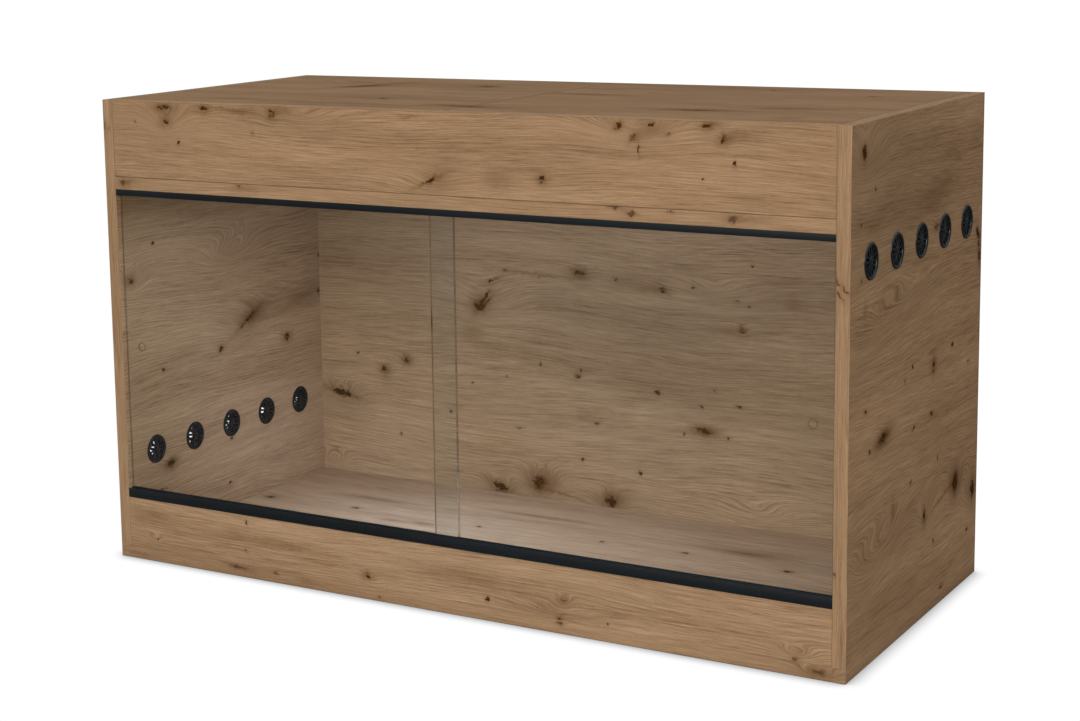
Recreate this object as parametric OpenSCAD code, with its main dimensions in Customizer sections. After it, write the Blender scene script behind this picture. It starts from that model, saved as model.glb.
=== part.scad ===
// Terrarium cabinet of laminated board with two sliding glass panes.
// Origin: centre of the footprint, on the floor. +X to the right, -Y to the front, +Z up.

/* [Cabinet] */
// Overall width
cabinet_w = 1000; // [800:10:1400]
// Overall depth, back panel included
cabinet_d = 450; // [440:10:600]
// Overall height
cabinet_h = 600; // [560:10:800]
// Thickness of the laminated boards
board_t = 16; // [16:1:19]
// Thickness of the hardboard back panel
back_t = 3; // [2.5:0.5:4]
// Thickness of the edge bands glued on the boards
band_t = 0.8; // [0.4:0.2:1]
// Gap along the seam of the top boards, and between the upper fascia and its rail
seam_gap = 0.4; // [0.2:0.1:1]

/* [Front] */
// Height of the fascia above the panes and their rail
upper_fascia_h = 98; // [80:1:130]
// Depth of the rail that lies under the upper fascia and carries the upper track
upper_rail_d = 60; // [50:1:90]
// Height of the fascia below the panes
lower_fascia_h = 65; // [60:1:120]
// Height of the upper track
upper_track_h = 8; // [8:0.5:12]
// Height of the lower track
lower_track_h = 12; // [10:0.5:16]
// Depth of the grooves in the lower track
lower_groove = 4; // [3:0.5:5]
// Wall thickness of the tracks
track_wall = 1.2; // [1:0.1:1.5]

/* [Panes] */
// Thickness of the glass
glass_t = 4; // [3:0.5:5]
// Play of a pane on each side in its groove
groove_play = 0.3; // [0.2:0.1:0.5]
// Width by which the closed panes overlap
pane_overlap = 30; // [20:1:50]
// Gap between a closed pane and the side panel
pane_end_gap = 1; // [0.5:0.5:2]
// Diameter of the drilled finger hole in each pane
finger_hole_d = 10; // [8:1:16]
// Distance of the finger hole from the pane's outer edge
finger_hole_in = 24; // [20:1:40]
// Height of the finger hole above the pane's lower edge
finger_hole_up = 192; // [100:1:250]

/* [Vents] */
// Vents in each side panel
vent_count = 5; // [1:1:5]
// Distance between the centres of two vents
vent_pitch = 82; // [60:1:84]
// Height of the vents' centres in the left side panel
left_vent_z = 132; // [100:1:250]
// Height of the vents' centres in the right side panel
right_vent_z = 450; // [300:1:500]
// Diameter of the holes that the vents sit in
vent_hole_d = 35.4; // [35.4:0.2:36]
// Diameter of the outer grille's flange
outer_flange_d = 41; // [40:0.5:44]
// Diameter of the inner grille's flange
inner_flange_d = 38.5; // [38:0.5:42]
// Radial slots in each grille
slot_count = 12; // [8:1:14]

/* [Hidden] */
vent_places = [for (i = [1:vent_count]) i];
$fn = 48;

// Colours
oak = "#9C7B5B";
oak_band = "#A38262";
hardboard = "#8A6B4E";
black_plastic = "#202427";
clear_glass = [0.75, 0.85, 0.82, 0.35];
beech = "#D9B98C";
zinc = "#B9BCC0";

// Outer and inner faces of the carcass
half_w = cabinet_w / 2;
inner_x = half_w - board_t;
front_y = -cabinet_d / 2;
rear_y = cabinet_d / 2;
board_rear_y = rear_y - back_t;
board_front_y = front_y + band_t;
fascia_rear_y = front_y + board_t;
floor_z = board_t;
ceiling_z = cabinet_h - board_t;
top_mid_z = cabinet_h - board_t / 2;
side_mid_x = half_w - board_t / 2;
fascia_mid_y = front_y + board_t / 2;
upper_fascia_z = cabinet_h - upper_fascia_h;
upper_rail_z = upper_fascia_z - board_t;
rail_mid_z = upper_rail_z + board_t / 2;
lower_fascia_top_z = floor_z + lower_fascia_h;

// Tracks and panes
groove_w = glass_t + 2 * groove_play;
track_d = 3 * track_wall + 2 * groove_w;
front_groove_y = front_y + track_wall;
rear_groove_y = front_groove_y + groove_w + track_wall;
lower_lip_z = lower_fascia_top_z + lower_track_h;
groove_floor_z = lower_lip_z - lower_groove;
groove_roof_z = upper_rail_z - track_wall;
pane_rest_gap = 0.2;
pane_w = inner_x - pane_end_gap + pane_overlap / 2;
pane_z = groove_floor_z + pane_rest_gap;
// Low enough to be lifted out of the lower groove
pane_top_z = groove_roof_z - lower_groove;

// Vent grilles: the outer one's barrel holds the inner one's
barrel_play = 0.2;
barrel_wall = 1.4;
outer_barrel_r = vent_hole_d / 2 - barrel_play;
inner_barrel_r = outer_barrel_r - barrel_wall - barrel_play;
barrel_l = board_t - 3;
outer_rim_w = 3.4;
outer_rim_h = 1.7;
inner_rim_w = 3.6;
inner_rim_h = 1.2;
grille_t = 1.2;
// Height of the grille's face above the board
grille_up = 0.3;
hub_r = 4.6;
hub_up = 0.8;
slot_in_r = 5.2;
slot_in_w = 0.9;
// Width of the ribs between two slots, at the rim
rib_w = 2.9;
slot_rim_gap = 0.6;

// Confirmat screws from below: 7 x 50 mm with a 4 mm hexagon socket
confirmat_d = 6.6;
confirmat_l = 50;
confirmat_head_d = 10;
confirmat_head_h = 3;
confirmat_sink = 0.4;
confirmat_socket_w = 4;
confirmat_socket_h = 3.5;
confirmat_ys = [-180, 0, 180];
fascia_confirmat_xs = [-320, 0, 320];

// Wooden dowels, 8 x 30 mm
dowel_d = 8;
dowel_l = 30;
dowel_in = 12;
bottom_dowel_ys = [-100, 100];
top_dowel_ys = [-60, 70];
seam_dowel_ys = [-120, 0, 120];
fascia_dowel_zs = [32, 62, cabinet_h - 30];
rail_dowel_xs = [-400, 0, 400];
rail_dowel_y = front_y + 28;

// Cam fittings: a 15 mm housing and a bolt with a 34 mm reach
cam_d = 15;
cam_h = 12.5;
cam_reach = 34;
cam_bolt_in = 11;
cam_bolt_d = 6;
cam_shank_d = 5;
cam_head_d = 7;
cam_head_l = 3;
cam_way_d = 8;
cam_cross_w = 8;
cam_cross_h = 2;
top_cam_ys = [-140, 150];
fascia_cam_x = 240;
fascia_cam_z = upper_fascia_z + 35;
rail_cam_y = front_y + 46;

// Countersunk screws of the back panel, 3 x 16 mm
back_screw_d = 3;
back_screw_l = 16;
back_screw_xs = [-400, -240, -80, 80, 240, 400];
back_screw_zs = [90, 300, 510];

// Room around a fastener, and past its end
hole_play = 0.1;
end_play = 0.5;

// ---------- small shapes ----------

// A block between two opposite corners
module block(low, high) {
    translate(low) cube(high - low);
}

// Countersunk screw with its head's face at z = 0, pointing along +Z; play widens it to its own bore
module countersunk_screw(d, l, play = 0) {
    r = d / 2 + play;
    head_h = d * 0.55;
    rotate_extrude() polygon([[0, 0], [r + d / 2, 0], [r, head_h], [r, l + play], [0, l + play]]);
}

// Cross-shaped recess, w across and cut to the given depth below z = 0
module cross_recess(w, depth) {
    for (turn = [0, 90]) rotate(turn) cube([w, w / 5, 2 * depth], center = true);
}

// ---------- places of the fasteners ----------
// Each module puts its children with +Z along the fastener's own axis.

module at_confirmats() {
    for (side = [-1, 1]) for (y = confirmat_ys) translate([side * side_mid_x, y, 0]) children();
    for (x = fascia_confirmat_xs) translate([x, fascia_mid_y, 0]) children();
}

module at_bottom_dowels() {
    for (side = [-1, 1]) for (y = bottom_dowel_ys)
        translate([side * side_mid_x, y, floor_z - dowel_in]) children();
}

// Dowels that start in a side panel and point to the middle; places holds their [y, z]
module at_side_dowels() {
    places = concat(
        [for (y = top_dowel_ys) [y, top_mid_z]],
        [for (z = fascia_dowel_zs) [fascia_mid_y, z]],
        [[rail_dowel_y, rail_mid_z]]
    );
    for (side = [-1, 1]) for (place = places)
        translate([side * (inner_x + dowel_in), place[0], place[1]]) rotate([0, -side * 90, 0]) children();
}

// Dowels that stand in the rail and reach into the upper fascia
module at_rail_dowels() {
    for (x = rail_dowel_xs) translate([x, fascia_mid_y, upper_fascia_z - dowel_in]) children();
}

module at_seam_dowels() {
    for (y = seam_dowel_ys) translate([-dowel_l / 2, y, top_mid_z]) rotate([0, 90, 0]) children();
}

// Cam fittings: +Z runs from the carrying board's face to the cam, and +X out of the cam's open face
module at_cams() {
    level_places = concat([for (y = top_cam_ys) [y, top_mid_z]], [[rail_cam_y, rail_mid_z]]);
    for (side = [-1, 1]) {
        for (place = level_places)
            translate([side * inner_x, place[0], place[1]]) rotate([0, -side * 90, 0])
                rotate(side > 0 ? 180 : 0) children();
        translate([side * inner_x, fascia_mid_y, fascia_cam_z]) rotate([0, -side * 90, 0])
            rotate(90) children();
        translate([side * fascia_cam_x, fascia_rear_y, top_mid_z]) rotate([-90, 0, 0])
            rotate(90) children();
    }
}

module at_back_screws() {
    for (x = back_screw_xs) for (z = [board_t / 2, top_mid_z])
        translate([x, rear_y, z]) rotate([90, 0, 0]) children();
    for (side = [-1, 1]) for (z = back_screw_zs)
        translate([side * side_mid_x, rear_y, z]) rotate([90, 0, 0]) children();
}

// ---------- bores for the fasteners ----------

// A round bore with play around a fastener of diameter d that lies between z_low and z_high
module bore(d, z_low, z_high) {
    translate([0, 0, z_low]) cylinder(h = z_high - z_low, d = d + 2 * hole_play);
}

module confirmat_bore() {
    bore(confirmat_head_d, -1, confirmat_sink + confirmat_head_h);
    bore(confirmat_d, 0, confirmat_sink + confirmat_l + end_play);
}

module dowel_bore() {
    bore(dowel_d, -end_play, dowel_l + end_play);
}

module cam_bores() {
    bore(cam_bolt_d, -cam_bolt_in - end_play, 0);
    bore(cam_head_d, 0, cam_reach);
    translate([board_t / 2, 0, cam_reach]) rotate([0, 90, 0]) bore(cam_d, -cam_h - hole_play, 1);
}

// ---------- boards ----------

module bottom_panel() {
    color(oak) difference() {
        block([-half_w + band_t, board_front_y, 0], [half_w - band_t, board_rear_y, floor_z]);
        at_confirmats() confirmat_bore();
        at_bottom_dowels() dowel_bore();
        at_back_screws() countersunk_screw(back_screw_d, back_screw_l, hole_play);
    }
}

// side is -1 for the left panel and 1 for the right one
module side_panel(side, vent_z) {
    color(oak) difference() {
        mirror([side < 0 ? 1 : 0, 0, 0])
            block([inner_x, board_front_y, floor_z], [half_w, board_rear_y, cabinet_h - band_t]);
        for (i = vent_places) translate([side * side_mid_x, vent_y(i), vent_z]) rotate([0, 90, 0])
            cylinder(h = board_t + 2, d = vent_hole_d, center = true);
        at_confirmats() confirmat_bore();
        at_bottom_dowels() dowel_bore();
        at_side_dowels() dowel_bore();
        at_cams() cam_bores();
        at_back_screws() countersunk_screw(back_screw_d, back_screw_l, hole_play);
    }
}

module left_side_panel() { side_panel(-1, left_vent_z); }
module right_side_panel() { side_panel(1, right_vent_z); }

// The two top boards lie between the side panels, behind the upper fascia
module top_panel(side) {
    color(oak) difference() {
        mirror([side < 0 ? 1 : 0, 0, 0])
            block([seam_gap / 2, fascia_rear_y, ceiling_z], [inner_x, board_rear_y, cabinet_h]);
        at_side_dowels() dowel_bore();
        at_seam_dowels() dowel_bore();
        at_cams() cam_bores();
        at_back_screws() countersunk_screw(back_screw_d, back_screw_l, hole_play);
    }
}

module left_top_panel() { top_panel(-1); }
module right_top_panel() { top_panel(1); }

module upper_fascia() {
    color(oak) difference() {
        block([-inner_x, front_y, upper_fascia_z + seam_gap], [inner_x, fascia_rear_y, cabinet_h - band_t]);
        at_side_dowels() dowel_bore();
        at_rail_dowels() dowel_bore();
        at_cams() cam_bores();
    }
}

module upper_rail() {
    color(oak) difference() {
        block([-inner_x, board_front_y, upper_rail_z], [inner_x, front_y + upper_rail_d, upper_fascia_z]);
        at_side_dowels() dowel_bore();
        at_rail_dowels() dowel_bore();
        at_cams() cam_bores();
    }
}

module lower_fascia() {
    color(oak) difference() {
        block([-inner_x, front_y, floor_z], [inner_x, fascia_rear_y, lower_fascia_top_z - band_t]);
        at_side_dowels() dowel_bore();
        at_confirmats() confirmat_bore();
    }
}

module back_panel() {
    color(hardboard) difference() {
        block([-half_w, board_rear_y, 0], [half_w, rear_y, cabinet_h]);
        at_back_screws() countersunk_screw(back_screw_d, back_screw_l, hole_play);
    }
}

// ---------- edge bands ----------

module band(low, high) {
    color(oak_band) block(low, high);
}

module bottom_front_band() { band([-half_w, front_y, 0], [half_w, board_front_y, floor_z]); }
module bottom_left_band() { band([-half_w, board_front_y, 0], [-half_w + band_t, board_rear_y, floor_z]); }
module bottom_right_band() { band([half_w - band_t, board_front_y, 0], [half_w, board_rear_y, floor_z]); }
module left_front_band() { band([-half_w, front_y, floor_z], [-inner_x, board_front_y, cabinet_h]); }
module right_front_band() { band([inner_x, front_y, floor_z], [half_w, board_front_y, cabinet_h]); }

module left_top_band() {
    band([-half_w, board_front_y, cabinet_h - band_t], [-inner_x, board_rear_y, cabinet_h]);
}

module right_top_band() {
    band([inner_x, board_front_y, cabinet_h - band_t], [half_w, board_rear_y, cabinet_h]);
}

module upper_rail_front_band() {
    band([-inner_x, front_y, upper_rail_z], [inner_x, board_front_y, upper_fascia_z]);
}

// A band on a fascia's upper edge, up to height z
module fascia_band(z) {
    band([-inner_x, front_y, z - band_t], [inner_x, fascia_rear_y, z]);
}

module upper_fascia_top_band() { fascia_band(cabinet_h); }
module lower_fascia_top_band() { fascia_band(lower_fascia_top_z); }

// ---------- tracks and panes ----------

// Cross-section of a double track with its grooves open upwards
module track_section(h, groove) {
    difference() {
        square([track_d, h]);
        for (start = [track_wall, 2 * track_wall + groove_w])
            translate([start, h - groove]) square([groove_w, groove + 1]);
    }
}

// A length of track from side panel to side panel, its underside at height z
module track(z, h, groove) {
    color(black_plastic) translate([-inner_x, front_y, z]) rotate([90, 0, 90])
        linear_extrude(2 * inner_x) track_section(h, groove);
}

module lower_track() {
    track(lower_fascia_top_z, lower_track_h, lower_groove);
}

module upper_track() {
    translate([0, 0, 2 * upper_rail_z]) mirror([0, 0, 1])
        track(upper_rail_z, upper_track_h, upper_track_h - track_wall);
}

// A pane in the groove that starts at groove_y; side is -1 for the left pane and 1 for the right one
module pane(side, groove_y) {
    outer_x = side * (inner_x - pane_end_gap);
    hole_x = outer_x - side * finger_hole_in;
    color(clear_glass) difference() {
        translate([side > 0 ? outer_x - pane_w : outer_x, groove_y + groove_play, pane_z])
            cube([pane_w, glass_t, pane_top_z - pane_z]);
        translate([hole_x, groove_y, pane_z + finger_hole_up]) rotate([-90, 0, 0])
            translate([0, 0, -1]) cylinder(h = groove_w + 2, d = finger_hole_d);
    }
}

module left_pane() { pane(-1, rear_groove_y); }
module right_pane() { pane(1, front_groove_y); }

// ---------- vents ----------

function vent_y(i) = (i - (vent_count + 1) / 2) * vent_pitch;

// A vent's parts have the board's face at z = 0, and +Z points away from the board.

// Cross-section of a rim: a flat foot under an arc
module rim_section(rim_r, rim_w, rim_h) {
    arc_r = (rim_w * rim_w / 4 + rim_h * rim_h) / (2 * rim_h);
    intersection() {
        translate([rim_r - rim_w / 2, rim_h - arc_r]) circle(arc_r);
        translate([rim_r - rim_w, 0]) square([rim_w, rim_h]);
    }
}

// Slotted disc with a raised hub
module vent_grille(disc_r, slot_out_r) {
    slot_out_w = 2 * PI * slot_out_r / slot_count - rib_w;
    difference() {
        union() {
            translate([0, 0, grille_up - grille_t]) cylinder(h = grille_t, r = disc_r);
            translate([0, 0, grille_up - grille_t / 2])
                cylinder(h = hub_up + grille_t / 2, r1 = hub_r, r2 = hub_r - hub_up);
        }
        translate([0, 0, grille_up - grille_t - 1]) linear_extrude(grille_t + 2)
            for (i = [1:slot_count]) rotate(i * 360 / slot_count) polygon([
                [slot_in_r, -slot_in_w / 2],
                [slot_out_r, -slot_out_w / 2],
                [slot_out_r, slot_out_w / 2],
                [slot_in_r, slot_in_w / 2]
            ]);
    }
}

module vent(rim_r, rim_w, rim_h, barrel_r) {
    barrel_in_r = barrel_r - barrel_wall;
    color(black_plastic) {
        rotate_extrude() {
            rim_section(rim_r, rim_w, rim_h);
            translate([barrel_in_r, -barrel_l]) square([barrel_wall, barrel_l]);
        }
        vent_grille(rim_r - rim_w + 0.2, barrel_in_r - slot_rim_gap);
    }
}

// side is -1 for the left panel and 1 for the right one; every other outer grille is turned half a pitch
module outer_vent(side, i, z) {
    half_pitch = 180 / slot_count;
    translate([side * half_w, vent_y(i), z]) rotate([0, side * 90, 0]) rotate(i % 2 * half_pitch)
        vent(outer_flange_d / 2, outer_rim_w, outer_rim_h, outer_barrel_r);
}

module inner_vent(side, i, z) {
    translate([side * inner_x, vent_y(i), z]) rotate([0, -side * 90, 0])
        vent(inner_flange_d / 2, inner_rim_w, inner_rim_h, inner_barrel_r);
}

module left_outer_vent(i) { outer_vent(-1, i, left_vent_z); }
module left_inner_vent(i) { inner_vent(-1, i, left_vent_z); }
module right_outer_vent(i) { outer_vent(1, i, right_vent_z); }
module right_inner_vent(i) { inner_vent(1, i, right_vent_z); }

// ---------- fasteners ----------

module confirmat_screws() {
    color(zinc) at_confirmats() translate([0, 0, confirmat_sink]) difference() {
        rotate_extrude() polygon([
            [0, 0],
            [confirmat_head_d / 2, 0],
            [confirmat_head_d / 2, confirmat_head_h],
            [confirmat_d / 2, confirmat_head_h],
            [confirmat_d / 2, confirmat_l - confirmat_d / 2],
            [0, confirmat_l]
        ]);
        cylinder(h = 2 * confirmat_socket_h, d = confirmat_socket_w / cos(30), center = true, $fn = 6);
    }
}

module dowel() {
    r = dowel_d / 2;
    chamfer = 1;
    rotate_extrude() polygon([
        [0, 0],
        [r - chamfer, 0],
        [r, chamfer],
        [r, dowel_l - chamfer],
        [r - chamfer, dowel_l],
        [0, dowel_l]
    ]);
}

module dowels() {
    color(beech) {
        at_bottom_dowels() dowel();
        at_side_dowels() dowel();
        at_rail_dowels() dowel();
        at_seam_dowels() dowel();
    }
}

// Housing with a way in for the bolt's head and a cross slot on its open face
module cam_housings() {
    color(zinc) at_cams() difference() {
        translate([board_t / 2 - cam_h, 0, cam_reach]) rotate([0, 90, 0]) cylinder(h = cam_h, d = cam_d);
        translate([0, 0, cam_reach - cam_d]) cylinder(h = cam_d + cam_head_l, d = cam_way_d);
        translate([board_t / 2, 0, cam_reach]) rotate([0, 90, 0]) cross_recess(cam_cross_w, cam_cross_h);
    }
}

module cam_bolts() {
    color(zinc) at_cams() {
        translate([0, 0, -cam_bolt_in]) cylinder(h = cam_bolt_in, d = cam_bolt_d);
        cylinder(h = cam_reach - cam_head_l, d = cam_shank_d);
        translate([0, 0, cam_reach - cam_head_l]) cylinder(h = cam_head_l, d = cam_head_d);
    }
}

module back_screws() {
    color(zinc) at_back_screws() difference() {
        countersunk_screw(back_screw_d, back_screw_l);
        cross_recess(back_screw_d, back_screw_d / 2);
    }
}

// ---------- the assembly ----------

bottom_panel();
left_side_panel();
right_side_panel();
left_top_panel();
right_top_panel();
upper_fascia();
upper_rail();
lower_fascia();
back_panel();
bottom_front_band();
bottom_left_band();
bottom_right_band();
left_front_band();
right_front_band();
left_top_band();
right_top_band();
upper_fascia_top_band();
upper_rail_front_band();
lower_fascia_top_band();
upper_track();
lower_track();
left_pane();
right_pane();
for (i = vent_places) left_outer_vent(i);
for (i = vent_places) left_inner_vent(i);
for (i = vent_places) right_outer_vent(i);
for (i = vent_places) right_inner_vent(i);
confirmat_screws();
dowels();
cam_housings();
cam_bolts();
back_screws();
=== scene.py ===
"""The looks of a terrarium cabinet of oak-look board, with sliding glass panes, black tracks and vents.

The boards and the fasteners keep their CAD shape and get materials here. The edge bands, tracks, panes and
vents are modelled again with their rounded and ground edges, each in the place of its CAD node.
"""
import math

import bpy
from mathutils import Matrix, Vector


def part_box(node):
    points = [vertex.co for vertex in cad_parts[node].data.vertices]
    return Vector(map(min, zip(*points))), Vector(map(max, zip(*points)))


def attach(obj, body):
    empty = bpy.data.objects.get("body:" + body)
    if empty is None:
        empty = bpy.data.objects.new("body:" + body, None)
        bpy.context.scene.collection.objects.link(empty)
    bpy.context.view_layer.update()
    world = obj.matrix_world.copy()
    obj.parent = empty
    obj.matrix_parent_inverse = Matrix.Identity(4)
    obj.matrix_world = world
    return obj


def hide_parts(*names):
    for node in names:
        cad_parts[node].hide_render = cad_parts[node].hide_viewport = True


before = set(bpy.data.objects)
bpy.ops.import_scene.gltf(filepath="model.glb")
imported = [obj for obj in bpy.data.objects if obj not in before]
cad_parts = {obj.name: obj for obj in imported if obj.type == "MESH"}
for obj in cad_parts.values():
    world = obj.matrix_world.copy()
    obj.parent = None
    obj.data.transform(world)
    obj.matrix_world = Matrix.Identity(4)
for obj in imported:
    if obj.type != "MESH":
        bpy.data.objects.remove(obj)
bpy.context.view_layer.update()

MM = 0.001
X, Y, Z = Vector((1, 0, 0)), Vector((0, 1, 0)), Vector((0, 0, 1))

# The photograph's own camera, worked out from the cabinet's corners
IMAGE_W, IMAGE_H = 1080, 721
FOCAL_PX = 2082.9
CENTRE_PX = (453.6, 256.8)
SENSOR_W = 36
CAMERA_AT = Vector((1.2553, -2.2580, 0.8079))
LOOK = Vector((-0.5133, 0.8439, -0.1561)).normalized()
LOOK_RIGHT = Vector((0.8557, 0.5171, -0.0181)).normalized()

# The printed oak, in mm: its growth rings, how far its knots' outlines stray and over what length, and how
# far in from a board's edge the dark line and painted shadow of a joint begin to fade and are gone
RING_WIDTH = 4.5
CROOK = 7
CROOK_LENGTH = 7
JOINT_FADE = (0.1, 0.8)

# Its colours, and how far its clouds turn it grey and painted light on it takes its colour out
OAK_DEEP = "#745336"
OAK_LIGHT = "#BC9974"
OAK_GREY = "#8F765C"
OAK_STAIN = "#634326"
OAK_HEART = "#43290F"
OAK_JOINT_LINE_AND_SHADE = "#33230F"
GREY_SHARE = 0.3
PAINTED_LIGHT_GREYING = 0.25

# How strongly each pattern of the grain lightens the wood, or darkens it where that is less than nothing,
# and the level that they start from
TONE_START = -0.9
FIBRES_SHARE, HAIRS_SHARE, STREAKS_SHARE, BROAD_SHARE = 1.0, 0.9, 0.42, 0.6
RINGS_SHARE, PORES_SHARE = -0.25, -0.15

# How far the grain strays on the edge bands and on the back, in mm, and how much paler the bands are
BAND_WANDER = 12
BACK_WANDER = 35
BAND_PALE = "#AE8C6B"
BAND_PALENESS = 0.15

# The specular level of the decor: printed melamine hardly shines, an edge band a little more
DECOR_SPECULAR = 0.02
BAND_SPECULAR = 0.04

# Inner and outer faces of the sides
LEFT_LOW, LEFT_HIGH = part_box("left_side_panel")
RIGHT_LOW, RIGHT_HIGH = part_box("right_side_panel")


# ---------- modelling ----------


def start_edit(piece, mode, chosen):
    """Opens one piece in edit mode, with only those edges or faces chosen that chosen() is true for. It is
    given an edge's middle and direction, or a face's middle and normal."""
    bpy.ops.object.select_all(action="DESELECT")
    bpy.context.view_layer.objects.active = piece
    piece.select_set(True)
    mesh = piece.data
    for part in list(mesh.vertices) + list(mesh.edges) + list(mesh.polygons):
        part.select = False
    if mode == "EDGE":
        for edge in mesh.edges:
            a, b = (mesh.vertices[i].co for i in edge.vertices)
            edge.select = chosen((a + b) / 2, (b - a).normalized())
    else:
        for face in mesh.polygons:
            face.select = chosen(face.center, face.normal)
    bpy.ops.object.mode_set(mode="EDIT")
    bpy.ops.mesh.select_mode(type=mode)


def end_edit():
    bpy.ops.object.mode_set(mode="OBJECT")


def block(name, low, high):
    """A block between two corners, as the start of a piece."""
    bpy.ops.object.select_all(action="DESELECT")
    bpy.ops.mesh.primitive_cube_add(size=1, location=(low + high) / 2, scale=high - low)
    piece = bpy.context.object
    piece.name = name
    bpy.ops.object.transform_apply(location=True, rotation=True, scale=True)
    return piece


def finish_with(piece, kind, **settings):
    """Adds a modifier with these settings and applies it."""
    bpy.ops.object.select_all(action="DESELECT")
    bpy.context.view_layer.objects.active = piece
    piece.select_set(True)
    modifier = piece.modifiers.new(kind.title(), kind)
    for name, value in settings.items():
        setattr(modifier, name, value)
    bpy.ops.object.modifier_apply(modifier=modifier.name)


def cut(piece, cutter):
    """Takes the cutter's shape out of the piece, and the cutter away."""
    finish_with(piece, "BOOLEAN", operation="DIFFERENCE", object=cutter, solver="EXACT")
    bpy.data.objects.remove(cutter)


def smooth(piece, degrees=30):
    bpy.ops.object.select_all(action="DESELECT")
    bpy.context.view_layer.objects.active = piece
    piece.select_set(True)
    bpy.ops.object.shade_smooth_by_angle(angle=math.radians(degrees))


def stands_for(piece, node, body, materials):
    """The finished piece takes the place of a CAD node."""
    piece.data.materials.clear()
    for material in materials:
        piece.data.materials.append(material)
    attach(piece, body)
    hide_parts(node)


# ---------- materials ----------


def linear(hex_colour):
    """An sRGB hex colour as the linear one that a socket takes."""
    shares = [int(hex_colour[i : i + 2], 16) / 255 for i in (1, 3, 5)]
    return [s / 12.92 if s <= 0.04045 else ((s + 0.055) / 1.055) ** 2.4 for s in shares] + [1]


def add(tree, kind, values=None, output=0, **settings):
    """Adds one shader node with its settings, values and links, and returns one of its outputs."""
    node = tree.nodes.new("ShaderNode" + kind)
    for name, value in settings.items():
        setattr(node, name, value)
    for key, value in (values or {}).items():
        if isinstance(value, bpy.types.NodeSocket):
            tree.links.new(value, node.inputs[key])
        else:
            node.inputs[key].default_value = value
    return node.outputs[output] if node.outputs else node


def new_material(name):
    material = bpy.data.materials.new(name)
    material.use_nodes = True
    material.node_tree.nodes.clear()
    return material, material.node_tree


def millimetres(tree, along, across):
    """The place on a flat piece in mm: x along the grain, y across it, and nothing through its thickness."""
    turn = Matrix((along, across, along.cross(across))).to_euler()
    flat = [1 / MM * (abs(a) + abs(b)) for a, b in zip(along, across)]
    place = add(tree, "TexCoord", output="Object")
    return add(tree, "Mapping", {"Vector": place, "Rotation": turn, "Scale": flat})


def patches(tree, place, length, width, seed, detail=2.0):
    """Noise in patches of about length by width mm, from 0 to 1 and mostly near 0.5."""
    stretched = add(tree, "Mapping", {
        "Vector": place, "Location": (seed, 7 * seed, 0), "Scale": (1 / length, 1 / width, 1),
    })
    return add(tree, "TexNoise", {"Vector": stretched, "Scale": 1, "Detail": detail, "Roughness": 0.6},
               noise_dimensions="2D")


def finish_material(tree, colour, roughness, height, depth, **shader):
    """A surface of this colour and roughness, with a relief of depth mm, on the material's output."""
    values = {"Base Color": colour, "Roughness": roughness, **shader}
    values["Normal"] = add(tree, "Bump", {"Height": height, "Strength": 1, "Distance": depth * MM})
    surface = add(tree, "BsdfPrincipled", values)
    add(tree, "OutputMaterial", {"Surface": surface})


# What each kind of mark does to the oak: how far it bows the grain, in widths of the mark, how much it stains
# it, how dark its heart is, and how much painted shade it lays on the wood, or painted light where that is
# less than nothing. The second number of each pair is how tightly that keeps to the mark's middle.
MARKS = {
    "knot": {"bow": (0.6, 0.25), "stain": (0.6, 0.45), "heart": (1.15, 1.0)},
    "eye": {"bow": (1.0, 0.8), "stain": (0.45, 0.7), "heart": (1.08, 4.0)},
    "dot": {"stain": (0.35, 0.5), "heart": (1.12, 0.8)},
    "crack": {"stain": (0.35, 0.25), "heart": (1.1, 0.8)},
    "streak": {"stain": (0.5, 1.0)},
    "stain": {"stain": (0.4, 1.0)},
    "ring": {"bow": (0.9, 1.0), "stain": (0.12, 1.0)},
    "swell": {"bow": (0.5, 1.0)},
    # dark and dim paint shade over broad areas of a board, and light and pale paint light on them
    "dark": {"shade": (0.2, 1.0)},
    "dim": {"shade": (0.1, 1.0)},
    "light": {"shade": (-0.12, 1.0)},
    "pale": {"shade": (-0.25, 1.0)},
}


def mark_strengths(tree, smooth_place, crooked_place, marks):
    """How strongly the marks bow, stain and darken at heart the wood at each place, and how much painted
    shade or painted light they lay on it. Knots and cracks have crooked outlines, and the grain bows smoothly
    round them."""
    totals = {"bow": 0.0, "stain": 0.0, "heart": 0.0, "shade": 0.0}
    outlines = ((smooth_place, ("bow", "shade")), (crooked_place, ("stain", "heart")))
    for kind, along, across, length, width, turn in marks:
        for outline, effects in outlines:
            present = [effect for effect in effects if effect in MARKS[kind]]
            if not present:
                continue
            centred = add(tree, "Mapping", {
                "Vector": outline, "Location": (along, across, 0), "Rotation": (0, 0, math.radians(turn)),
                "Scale": (length / 2, width / 2, 1),
            }, vector_type="TEXTURE")
            spread = add(tree, "VectorMath", {0: centred, 1: centred}, output="Value",
                         operation="DOT_PRODUCT")
            for effect in present:
                amount, tightness = MARKS[kind][effect]
                amount *= width if effect == "bow" else 1
                shape = add(tree, "Math", {0: math.exp(-tightness), 1: spread}, operation="POWER")
                totals[effect] = add(tree, "Math", {0: shape, 1: amount, 2: totals[effect]},
                                     operation="MULTIPLY_ADD")
    return totals


def strayed_grain(tree, place, bow, seed, wander):
    """The grain is drawn along lines of equal height on a slope: it strays a little, and bows round the
    marks. Returns that height, and the place that patterns of the grain are drawn at."""
    parts = add(tree, "SeparateXYZ", {0: place}, output="X").node.outputs
    far_stray = patches(tree, place, 450, 120, seed, 0.0)
    near_stray = patches(tree, place, 110, 30, seed + 1, 0.0)
    level = add(tree, "Math", {0: far_stray, 1: wander, 2: parts["Y"]}, operation="MULTIPLY_ADD")
    level = add(tree, "Math", {0: near_stray, 1: wander / 6, 2: level}, operation="MULTIPLY_ADD")
    level = add(tree, "Math", {0: level, 1: bow}, operation="ADD")
    return level, add(tree, "CombineXYZ", {"X": parts["X"], "Y": level})


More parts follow.
